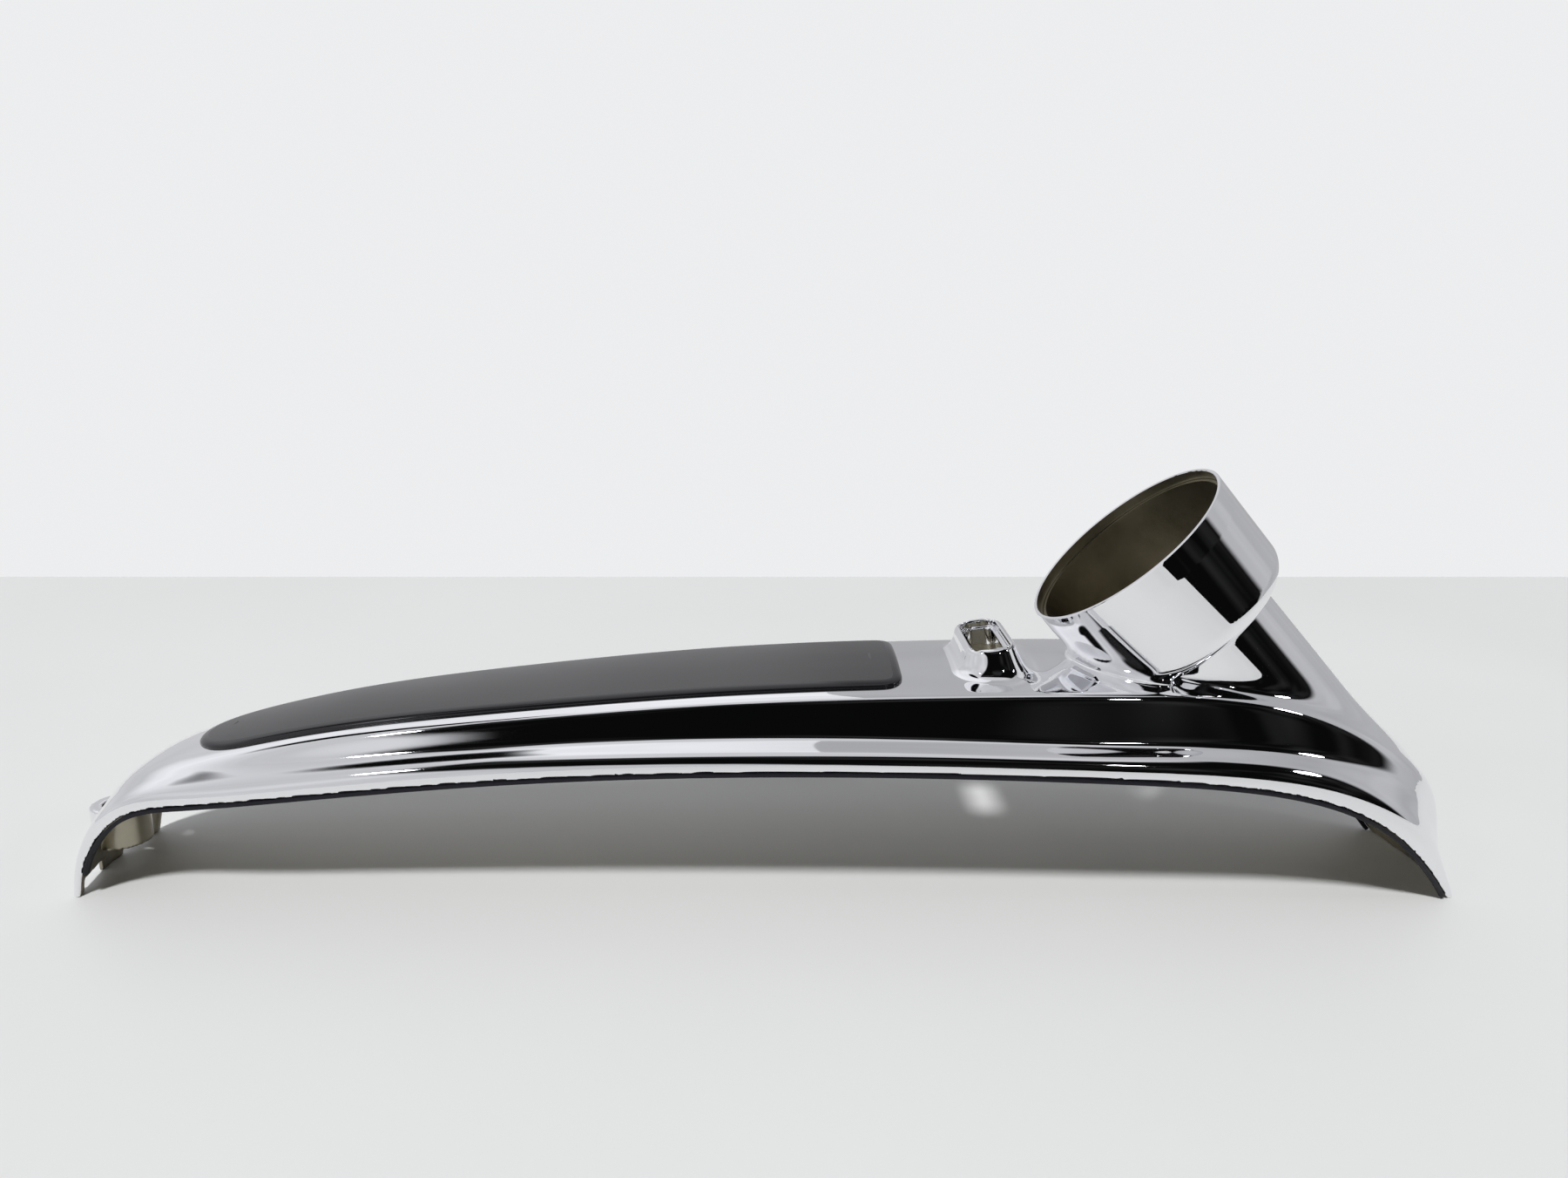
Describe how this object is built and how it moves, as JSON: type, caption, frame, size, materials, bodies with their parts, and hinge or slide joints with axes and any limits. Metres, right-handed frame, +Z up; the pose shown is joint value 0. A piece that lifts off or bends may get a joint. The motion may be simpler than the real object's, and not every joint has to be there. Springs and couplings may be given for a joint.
{
  "type": "motorcycle dash console",
  "caption": "Arched chrome console casting with an open tilted gauge cup, a lamp boss, a tail lug, a dark crown inlay and rubber edge trims.",
  "frame": {"origin": "centre of the bounding box in plan, on the surface that the console stands on", "axes": "+X towards the nose under the gauge cup, +Y to the left side, +Z up"},
  "size_m": [0.6577, 0.1264, 0.1959],
  "materials": {
    "chrome_plate": "mirror plated, bare dull casting inside",
    "inlay_plastic": "satin top, glossy rounded edge",
    "adhesive_pad": "matt foam tape",
    "edge_rubber": "satin rubber"
  },
  "bodies": {
    "root": {"console_shell": "chrome_plate", "trim_insert": "inlay_plastic", "insert_adhesive": "adhesive_pad", "edge_trim_right": "edge_rubber", "edge_trim_left": "edge_rubber"}
  },
  "joints": []
}
